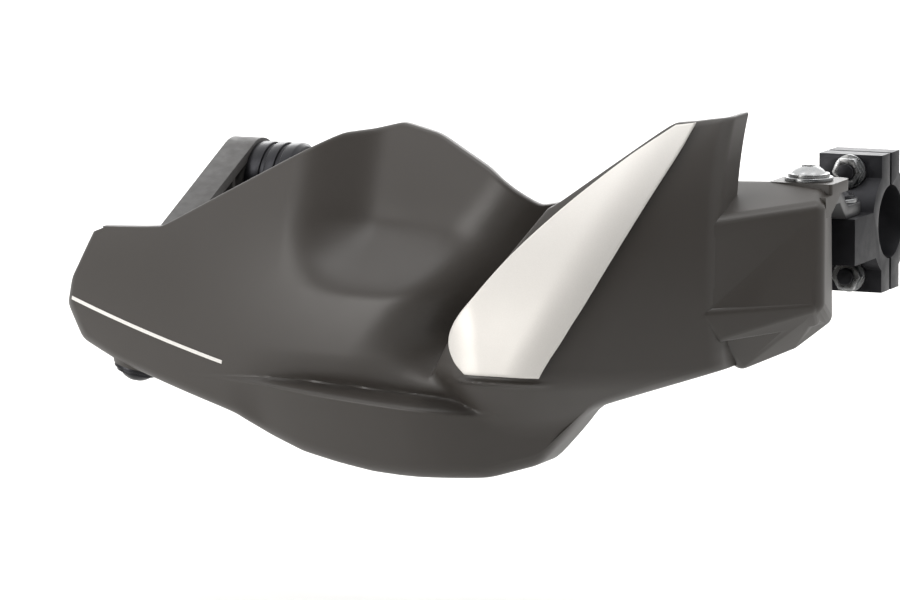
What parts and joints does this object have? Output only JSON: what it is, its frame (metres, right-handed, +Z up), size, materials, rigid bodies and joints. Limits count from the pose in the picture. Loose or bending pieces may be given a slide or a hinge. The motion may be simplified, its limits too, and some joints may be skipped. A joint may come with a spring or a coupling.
{
  "type": "motorcycle hand guard",
  "caption": "Moulded hand guard shell with a silver inlay and a lever pocket, carried by a bar end arm and a bar clamp.",
  "frame": {"origin": "middle of the handlebar's end face, on the bar's axis", "axes": "+X inboard along the handlebar, -Y forward in the riding direction, +Z up"},
  "size_m": [0.2523, 0.1282, 0.1099],
  "materials": {
    "shell_plastic": "fine moulded texture",
    "silver_paint": "satin silver",
    "foam": "closed cell foam",
    "arm_plastic": "moulded, glass filled",
    "black_steel": "black zinc plated",
    "bright_steel": "bright zinc plated",
    "black_aluminium": "turned and black anodised",
    "stay_coat": "black powder coat",
    "brass": "turned",
    "plug_rubber": "moulded"
  },
  "bodies": {
    "root": {"shell": "shell_plastic", "inlay": "silver_paint", "inlay_tape": "foam", "outer_arm": "arm_plastic", "outer_insert": "brass", "outer_sleeve": "bright_steel", "outer_washer": "black_steel", "outer_screw": "black_steel", "bar_end_spacer": "black_aluminium", "bar_end_washer": "bright_steel", "bar_end_screw": "black_steel", "plug_washer": "bright_steel", "plug_rubber": "plug_rubber", "plug_nut": "brass", "inner_sleeve": "bright_steel", "inner_washer": "bright_steel", "inner_screw": "bright_steel", "inner_nut": "bright_steel", "inner_stay": "stay_coat", "clamp_front": "black_aluminium", "clamp_rear": "black_aluminium", "clamp_screws": "black_steel", "clamp_nuts": "bright_steel", "stay_screw": "black_steel", "stay_washer": "bright_steel"}
  },
  "joints": []
}
